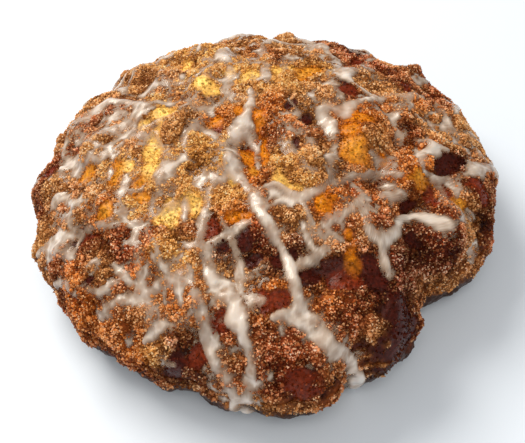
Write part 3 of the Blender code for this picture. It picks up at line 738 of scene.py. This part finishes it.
def glaze_top(points, form, nuggets, bare):
    """The height of the glaze's top over the smooth dome. Strands are rounded beads that follow the crumbs,
    with a thin film beside them. Film and pools lie nearly level, so crumbs stand out of them. Where there
    is no glaze, the height is far below the crust."""
    wander = np.stack([lattice_noise(points, 6.0, seed) + 0.4 * lattice_noise(points, 2.3, seed + 5)
                       for seed in (31, 32, 33)], 1)
    warped = points + WANDER * wander
    ebb = lattice_noise(points, 9.0, 34)
    drip = lattice_noise(points, 7.0, 35)
    bead = np.full(len(points), -9.0)
    film = np.full(len(points), -9.0)
    for thick, *places in STRANDS:
        run, half = smooth_run(places)
        middle = run.mean(0)
        reach = (np.linalg.norm(run - middle, axis=1) + 3 * half).max() + 3
        near = np.nonzero(((points - middle) ** 2).sum(1) < reach ** 2)[0]
        share = np.full(len(near), 99.0)
        for start, end, half_start, half_end in zip(run, run[1:], half, half[1:]):
            along = end - start
            place = np.clip((warped[near] - start) @ along / (along @ along), 0, 1)
            away = np.linalg.norm(warped[near] - start - place[:, None] * along, axis=1)
            share = np.minimum(share, away / (half_start + (half_end - half_start) * place))
        share = share / (STRAND_WIDTH + UNEVEN_WIDTH * ebb[near])
        edge = np.clip(1 - share ** 2, 0, 1) ** 0.5
        uneven = STRAND_THICKNESS * (1 + UNEVEN_THICKNESS * drip[near])
        bead[near] = blended(bead[near], np.where(share < 1, thick * uneven * edge, 2.5 * (1 - share)))
        film[near] = np.maximum(film[near], FILM * (1 - (share / FILM_REACH) ** 2) + 0.3 * ebb[near])
    for x, y, half_long, half_wide, level, *turn in POOLS:
        middle = at((x, y))
        near = np.nonzero(((points - middle) ** 2).sum(1) < (2.5 * max(half_long, half_wide)) ** 2)[0]
        share = oval_share(warped[near] - middle, half_long, half_wide, *turn)
        lapped = POOL_LEVEL + level + 0.25 * ebb[near] - POOL_EDGE * np.clip(share - 0.6, 0, 9) ** 2
        film[near] = np.maximum(film[near], lapped)
    film -= FILM_SHED * bare
    return blended(form + STRAND_SEAT * nuggets + bead, form + POOL_SEAT * nuggets + film)


glaze_x, glaze_y = disc_places(*square_grid(GLAZE_GRID))
glaze_smooth = dome(glaze_x, glaze_y)
glaze_form, glaze_nuggets, glaze_crumbs, glaze_bare = crust_relief(glaze_smooth)[:4]
crust_height = glaze_form + glaze_nuggets + glaze_crumbs
height = glaze_top(glaze_smooth, glaze_form, glaze_nuggets, glaze_bare)
depth = height - crust_height
top_height = np.maximum(height, crust_height - EDGE_DIP)
under_height = np.minimum(top_height, crust_height) - UNDER_CRUST
top = raised(glaze_x, glaze_y, glaze_smooth, top_height)
under = raised(glaze_x, glaze_y, glaze_smooth, under_height)
quads = grid_quads(GLAZE_GRID)
kept = quads[(depth[quads] > LEAST_DEPTH).any(1) & (glaze_smooth[quads, 2] > LEAST_LEVEL).all(1)]
sides = np.concatenate([kept[:, [k, (k + 1) % 4]] for k in range(4)])
key = sides[:, 0].astype(np.int64) * len(glaze_smooth) + sides[:, 1]
opposite = sides[:, 1].astype(np.int64) * len(glaze_smooth) + sides[:, 0]
border = sides[~np.isin(key, opposite)]
count = len(glaze_smooth)
walls = np.stack([border[:, 1], border[:, 0], border[:, 0] + count, border[:, 1] + count], 1)
faces = np.concatenate([kept, kept[:, ::-1] + count, walls])
used, renumbered = np.unique(faces, return_inverse=True)
glaze_points = np.concatenate([top, under])[used]
glaze_points[:, 2] = np.maximum(glaze_points[:, 2], BASE_LEVEL + 0.3)
glaze = mesh_from("sugar_glaze", glaze_points, [renumbered.reshape(faces.shape)])
paint(glaze, "depth", np.concatenate([depth, depth])[used])


def set_sugar_glaze():
    """Set sugar glaze: off-white and glossy, thinner and more see-through towards its edges."""
    material, tree, surface = new_material("set_sugar_glaze")
    depth = named_value(tree, "depth")
    thin = tree.nodes.new("ShaderNodeMix")
    thin.data_type = "RGBA"
    set_inputs(thin, {"A": (0.54, 0.37, 0.25, 1), "B": (0.88, 0.84, 0.80, 1)})
    tree.links.new(ranged(tree, depth, 0, 1, 0.6, 3.0), thin.inputs["Factor"])
    tree.links.new(thin.outputs["Result"], surface.inputs["Base Color"])
    tree.links.new(ranged(tree, depth, 0.08, 0.9, 0.0, 2.0), surface.inputs["Alpha"])
    set_inputs(surface, {"Roughness": 0.18, "Subsurface Weight": 0.2})
    set_inputs(surface, {"Subsurface Radius": (0.004, 0.003, 0.002)})
    bumped(tree, fine_noise(tree, 3.0, 3), 0.2, surface)
    return material


glaze.data.materials.append(set_sugar_glaze())
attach(glaze, "root")
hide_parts("cake")

# The streusel: butter, flour and brown sugar rubbed to crumbs, strewn over the dough and baked golden
# brown. Each kind of grain is one mesh of many uneven few-sided lumps, half sunk in the crust. Few of them
# lie on the bare patches and low on the side, and none under the thick glaze.

# Kinds of grain: name, how many, least and greatest radius, lift in radii, brightness, share of pale sugar
# colour (real sugar and painted glints), corners
GRAIN_KINDS = [
    ("coarse_crumbs", 9000, 0.6, 1.3, 0.1, 1.0, 0.1, 12),
    ("baked_crumbs", 44000, 0.55, 1.2, 0.3, 0.85, 0.0, 4),
    ("golden_crumbs", 44000, 0.55, 1.1, 0.5, 1.25, 0.17, 4),
    ("brown_crumbs", 44000, 0.6, 1.2, 0.0, 0.55, 0.0, 4),
    ("sugar_and_glint_grains", 34000, 0.5, 0.85, 0.7, 1.3, 0.62, 4),
]
# Pale sugar colour, bright enough to stand in for glints too: partly painted highlight
SUGAR_AND_GLINT = (0.92, 0.58, 0.27)
GOLDEN_RATIO = (1 + 5 ** 0.5) / 2
# Each grain's limits are drawn between two values: for bareness, standing out of the glaze, and thickness
# strewn
BARE_LIMITS = (0.05, 1.15)
STANDING_LIMITS = (-0.4, 0.6)
STREWN_LIMITS = (-0.35, 0.9)
STREWN_FOOT = 17
STREWN_BLEND = 7
CELLS_A_GRAIN = 1.35
EVEN_REACH = 172
UNEVEN_CORNERS = (0.75, 1.2)
UNEVEN_SIDES = (0.7, 1.25)
UNEVEN_TONE = 0.3
BRIGHTEST = 0.85


def grain_shape(corners):
    """The unit lump: a tetrahedron, or an icosahedron, whose twelve corners lie 1 and the golden ratio out
    along two of the axes."""
    if corners == 12:
        points = np.array([np.roll((short, far, 0), turn) for turn in range(3)
                           for far in (GOLDEN_RATIO, -GOLDEN_RATIO) for short in (-1, 1)])
        length = 2.0
    else:
        points = np.array([(1, 1, 1), (1, -1, -1), (-1, 1, -1), (-1, -1, 1)], float)
        length = 8 ** 0.5
    faces = []
    for face in itertools.permutations(range(corners), 3):
        triangle = points[list(face)]
        edges = np.linalg.norm(triangle - np.roll(triangle, 1, 0), axis=1)
        if face[0] == min(face) and np.allclose(edges, length) and np.linalg.det(triangle) > 0:
            faces.append(face)
    return points / np.linalg.norm(points[0]), np.array(faces)


def scattered_places(count, draw):
    """Places spread evenly over the cake: one in each cell of a jittered square grid, thinned down the
    side."""
    side = int(np.sqrt(count * CELLS_A_GRAIN)) + 1
    across, along = square_grid(side)
    jitter = draw.uniform(-1, 1, (2, side * side)) / side
    across, along = np.clip(across + jitter[0], -1, 1), np.clip(along + jitter[1], -1, 1)
    x, y = disc_places(across, along)
    ring = np.hypot(*dome(x, y)[:, :2].T)
    reach = np.maximum(np.abs(across), np.abs(along)) * EVEN_REACH + 1e-6
    even = draw.uniform(0, 1, len(x)) < np.minimum(1, ring / reach)
    return x[even], y[even]


def random_turns(count, draw):
    """Turns spread evenly over all turns, from unit quaternions with normally drawn parts."""
    parts = draw.normal(size=(4, count))
    w, x, y, z = parts / np.linalg.norm(parts, axis=0)
    turns = np.stack([1 - 2 * (y * y + z * z), 2 * (x * y - w * z), 2 * (x * z + w * y),
                      2 * (x * y + w * z), 1 - 2 * (x * x + z * z), 2 * (y * z - w * x),
                      2 * (x * z - w * y), 2 * (y * z + w * x), 1 - 2 * (x * x + y * y)], 1)
    return turns.reshape(count, 3, 3)


def baked_crumb():
    """Baked streusel grain: its own colour, a little mottled, dull with a sheen of butter and sugar."""
    material, tree, surface = new_material("baked_crumb")
    mottle = ranged(tree, fine_noise(tree, 0.8, 4), 0.75, 1.15, 0.35, 0.65)
    colour = brightened(tree, named_value(tree, "grain_colour", "Color"), mottle)
    tree.links.new(colour, surface.inputs["Base Color"])
    sheen = ranged(tree, fine_noise(tree, 1.5, 2), 0.18, 0.5, 0.3, 0.7)
    tree.links.new(sheen, surface.inputs["Roughness"])
    set_inputs(surface, {"Specular IOR Level": 0.06})
    return material


crumb_finish = baked_crumb()
for kind, (name, count, least, greatest, lift, bright, sugar, corners) in enumerate(GRAIN_KINDS):
    draw = np.random.default_rng(100 + kind)
    x, y = scattered_places(count * (1), draw)
    smooth = dome(x, y)
    form, nuggets, crumb, bare, patch_colour = crust_relief(smooth)
    radius = draw.triangular(least, least, greatest, len(x))
    off = form + nuggets + crumb + lift * radius
    over = off + radius - glaze_top(smooth, form, nuggets, bare)
    strewn = 0.5 + 0.5 * lattice_noise(smooth, 5, 71) + 0.3 * (crumb + nuggets)
    foot = np.clip((smooth[:, 2] - STREWN_FOOT) / STREWN_BLEND + 0.8 * lattice_noise(smooth, 9, 73), 0, 1)
    shown = bare < draw.uniform(*BARE_LIMITS, len(x))
    shown &= over > draw.uniform(*STANDING_LIMITS, len(x))
    shown &= draw.uniform(*STREWN_LIMITS, len(x)) < strewn
    shown &= draw.uniform(0, 1, len(x)) < foot
    x, y, smooth, bare, patch_colour, off, nuggets, crumb, radius = (
        values[shown] for values in (x, y, smooth, bare, patch_colour, off, nuggets, crumb, radius))
    middle = raised(x, y, smooth, off)
    unit, sides = grain_shape(corners)
    lumps = unit[None] * draw.uniform(*UNEVEN_CORNERS, (len(x), corners, 1))
    lumps = lumps * draw.uniform(*UNEVEN_SIDES, (len(x), 1, 3))
    lumps = np.einsum("nij,nkj->nki", random_turns(len(x), draw), lumps * radius[:, None, None])
    points = (lumps + middle[:, None]).reshape(-1, 3)
    points[:, 2] = np.maximum(points[:, 2], BASE_LEVEL + 0.1)
    faces = (sides[None] + corners * np.arange(len(x))[:, None, None]).reshape(-1, 3)
    grains = mesh_from(name, points, [faces], smooth=False)
    crumb_share = cobbles(smooth, CRUMB_SIZE, CRUMB_SEED)[1]
    nugget_share = cobbles(smooth, NUGGET_SIZE, NUGGET_SEED)[1]
    uneven = np.exp(draw.normal(0, UNEVEN_TONE, len(x))) * (0.65 + 0.7 * crumb_share)
    colour = baked_tone_and_shade(smooth)
    # Mix towards pale sugar: real pale sugar, and painted glints
    colour += sugar * np.sqrt(colour[:, :1]) * (SUGAR_AND_GLINT - colour)
    # Grains in the gaps between nuggets and crumbs are darker: painted shade; their brightness also varies at
    # random
    colour = gap_shaded(colour, nuggets, crumb, bright * uneven * (0.7 + 0.6 * nugget_share))
    colour += 0.9 * np.minimum(1, 2 * bare)[:, None] * (patch_colour * uneven[:, None] - colour)
    colour /= np.maximum(1, colour.max(1, keepdims=True) / BRIGHTEST)
    paint(grains, "grain_colour", np.repeat(colour, corners, axis=0))
    grains.data.materials.append(crumb_finish)
    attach(grains, "root")
    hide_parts("cake")

# The floor: a plain pale sheet that the cake stands on.
FLOOR_REACH = 3000
FLOOR_LEVEL = -0.2
floor_x, floor_y = square_grid(2)
floor_points = np.stack([FLOOR_REACH * floor_x, FLOOR_REACH * floor_y, np.full(4, FLOOR_LEVEL)], 1)
floor = mesh_from("floor", floor_points, [grid_quads(2)])
pale, _, pale_surface = new_material("pale_floor")
set_inputs(pale_surface, {"Base Color": (0.76, 0.86, 1.0, 1), "Roughness": 0.6})
floor.data.materials.append(pale)

# The light: a wide soft window behind and to the left, a weak fill from the front, and a pale room.
CAKE_MIDDLE = Vector((0, 0, 0.04))


def soft_light(name, azimuth, elevation, distance, size, watts, colour):
    """A square light on a sphere round the cake, turned to face it. Azimuth is from +X towards +Y."""
    lamp = bpy.data.lights.new(name, "AREA")
    lamp.shape = "RECTANGLE"
    lamp.size, lamp.size_y = size
    lamp.energy = watts
    lamp.color = colour
    around, above = np.radians(azimuth), np.radians(elevation)
    away = Vector((np.cos(around) * np.cos(above), np.sin(around) * np.cos(above), np.sin(above)))
    holder = bpy.data.objects.new(name, lamp)
    holder.location = CAKE_MIDDLE + away * distance
    holder.rotation_euler = away.to_track_quat("Z", "Y").to_euler()
    bpy.context.scene.collection.objects.link(holder)


soft_light("window", 130, 50, 1.6, (1.0, 0.7), 24.5, (1.0, 0.915, 0.80))
soft_light("fill", -75, 60, 2.0, (1.4, 1.4), 13, (1.0, 0.92, 0.80))
room = bpy.data.worlds.new("pale_room")
bpy.context.scene.world = room
room.use_nodes = True
set_inputs(room.node_tree.nodes["Background"], {"Color": (1.0, 0.955, 0.90, 1), "Strength": 0.44})

# The camera: above the front of the cake, rolled a little, as in the photograph.
CAMERA_ELEVATION = 48.7
CAMERA_ROLL = 6.7
CAMERA_DISTANCE = 0.462
CAMERA_AIM = Vector((-0.003, 0.008, 0))
FOCAL_PIXELS = 800
PICTURE_WIDTH = 525
SENSOR = 36

tilt, roll = np.radians(CAMERA_ELEVATION), np.radians(CAMERA_ROLL)
back = Vector((0, -np.cos(tilt), np.sin(tilt)))
level_right = Vector((1, 0, 0))
level_up = back.cross(level_right)
right = level_right * np.cos(roll) - level_up * np.sin(roll)
up = level_right * np.sin(roll) + level_up * np.cos(roll)
lens = bpy.data.cameras.new("camera")
lens.sensor_width = SENSOR
lens.lens = SENSOR * FOCAL_PIXELS / PICTURE_WIDTH
lens.clip_start = 0.01
camera = bpy.data.objects.new("camera", lens)
stand = CAMERA_AIM + back * CAMERA_DISTANCE + Vector(BOX_SHIFT * MM)
camera.matrix_world = Matrix.Translation(stand) @ Matrix((right, up, back)).transposed().to_4x4()
bpy.context.scene.collection.objects.link(camera)
bpy.context.scene.camera = camera
bpy.context.scene.view_settings.view_transform = "Standard"
